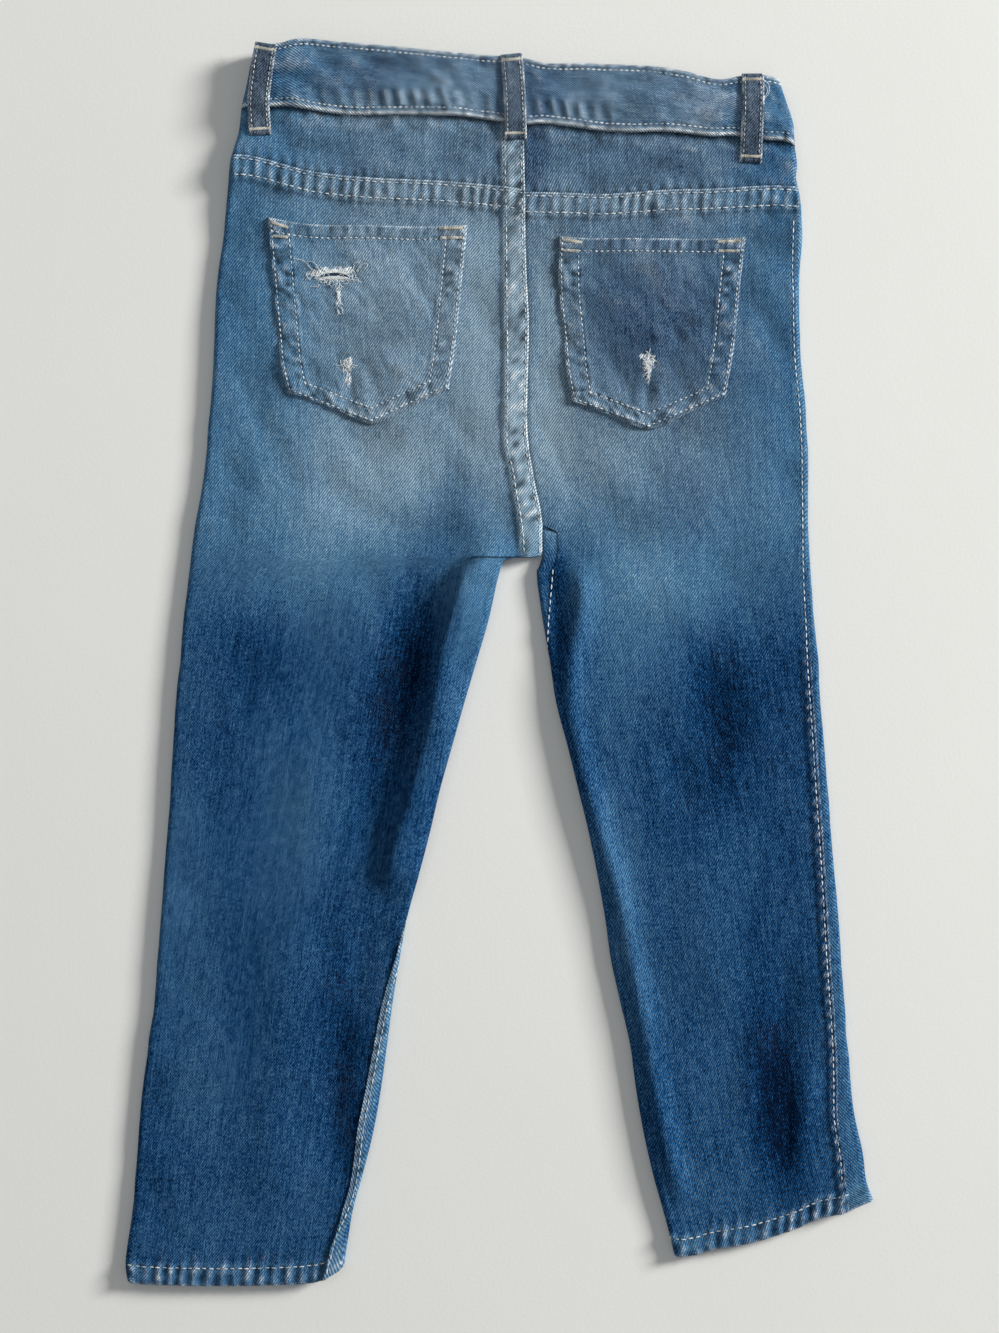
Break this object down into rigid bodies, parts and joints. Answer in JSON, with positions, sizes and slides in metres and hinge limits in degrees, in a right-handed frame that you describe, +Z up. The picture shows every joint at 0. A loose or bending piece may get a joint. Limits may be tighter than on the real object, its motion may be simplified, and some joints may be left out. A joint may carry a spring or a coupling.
{
  "type": "ripped jeans",
  "caption": "Small child's ripped denim jeans laid flat face down, with a back yoke, patch pockets, belt loops and a buttoned waistband.",
  "frame": {"origin": "middle of the laid garment's outline, on the surface it lies on", "axes": "+Y along the jeans toward the waist, +Z up out of the surface with the back on top, +X toward the wearer's right"},
  "size_m": [0.3531, 0.5843, 0.0102],
  "materials": {
    "denim_front": "indigo twill denim, worn pale at the seams",
    "denim_back": "stone-washed indigo twill denim, faded over the seat and thighs",
    "denim_band": "washed denim with a whitened lower edge",
    "denim_pocket": "washed denim with whitened edges and torn, frayed spots",
    "denim_loop": "washed denim strap, worn grey",
    "button_metal": "plain brushed metal with a raised rim"
  },
  "bodies": {
    "root": {"front_leg_left": "denim_front", "front_leg_right": "denim_front", "back_leg_left": "denim_back", "back_leg_right": "denim_back", "back_yoke_left": "denim_back", "back_yoke_right": "denim_back", "waistband": "denim_band", "back_pocket_left": "denim_pocket", "back_pocket_right": "denim_pocket", "belt_loop_back_left": "denim_loop", "belt_loop_back_centre": "denim_loop", "belt_loop_back_right": "denim_loop", "belt_loop_front_left": "denim_loop", "belt_loop_front_right": "denim_loop", "waist_button": "button_metal"}
  },
  "joints": []
}
